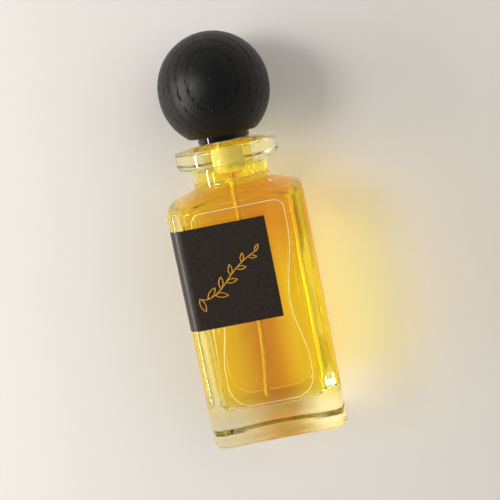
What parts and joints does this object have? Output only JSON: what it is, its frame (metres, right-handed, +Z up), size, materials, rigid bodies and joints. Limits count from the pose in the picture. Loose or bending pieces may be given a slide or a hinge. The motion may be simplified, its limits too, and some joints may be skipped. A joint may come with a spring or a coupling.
{
  "type": "perfume bottle",
  "caption": "Rectangular glass spray bottle with a flanged round neck, a crimped pump, a wrap label and a lift-off ball cap.",
  "frame": {"origin": "centre of the bounding box on the plane that the four base feet stand on", "axes": "+Z up along the neck and pump axis, -Y out of the labelled front face, +X to the right seen from the front"},
  "size_m": [0.0454, 0.0368, 0.1367],
  "materials": {
    "clear_glass": "polished",
    "amber_perfume": "clear liquid",
    "dark_label_paper": "matte, fine speckle",
    "black_stained_wood": "matte, open grain",
    "black_anodised": "gloss black",
    "bare_aluminium": "satin",
    "natural_plastic": "translucent natural",
    "white_plastic": "moulded",
    "black_plastic": "moulded",
    "grey_rubber": "matte",
    "spring_steel": "drawn wire"
  },
  "bodies": {
    "bottle": {"glass_bottle": "clear_glass", "perfume_liquid": "amber_perfume", "front_label": "dark_label_paper", "neck_gasket": "grey_rubber", "crimp_ferrule": "bare_aluminium", "collar_ring": "black_plastic", "collar_cover": "black_anodised", "pump_housing": "natural_plastic", "stem_guide": "white_plastic", "stem_gasket": "grey_rubber", "dip_tube": "natural_plastic", "return_spring": "spring_steel"},
    "cap": {"ball_cap": "black_stained_wood", "cap_liner": "natural_plastic"},
    "stem": {"pump_stem": "white_plastic"},
    "sliding_piston": {"piston": "natural_plastic"},
    "valve_ball": {"check_ball": "spring_steel"},
    "actuator": {"actuator_core": "black_plastic", "actuator_shell": "black_anodised", "nozzle_insert": "black_plastic"}
  },
  "joints": [
    {"name": "cap_lift", "type": "slide", "parent": "bottle", "child": "cap", "axis": [0, 0, 1], "range_m": [0, 0.03]},
    {"name": "stem_press", "type": "slide", "parent": "bottle", "child": "stem", "axis": [0, 0, -1], "range_m": [0, 0.0043], "stiffness_N_per_m": 1500, "springref_m": -0.003, "deforming": ["return_spring"]},
    {"name": "actuator_turn", "type": "hinge", "parent": "stem", "child": "actuator", "pos_m": [0, 0, 0.11722], "axis": [0, 0, 1], "continuous": true},
    {"name": "piston_slip", "type": "slide", "parent": "stem", "child": "sliding_piston", "axis": [0, 0, 1], "range_m": [0, 0.00055]},
    {"name": "ball_lift", "type": "slide", "parent": "bottle", "child": "valve_ball", "axis": [0, 0, 1], "range_m": [0, 0.0005]}
  ]
}
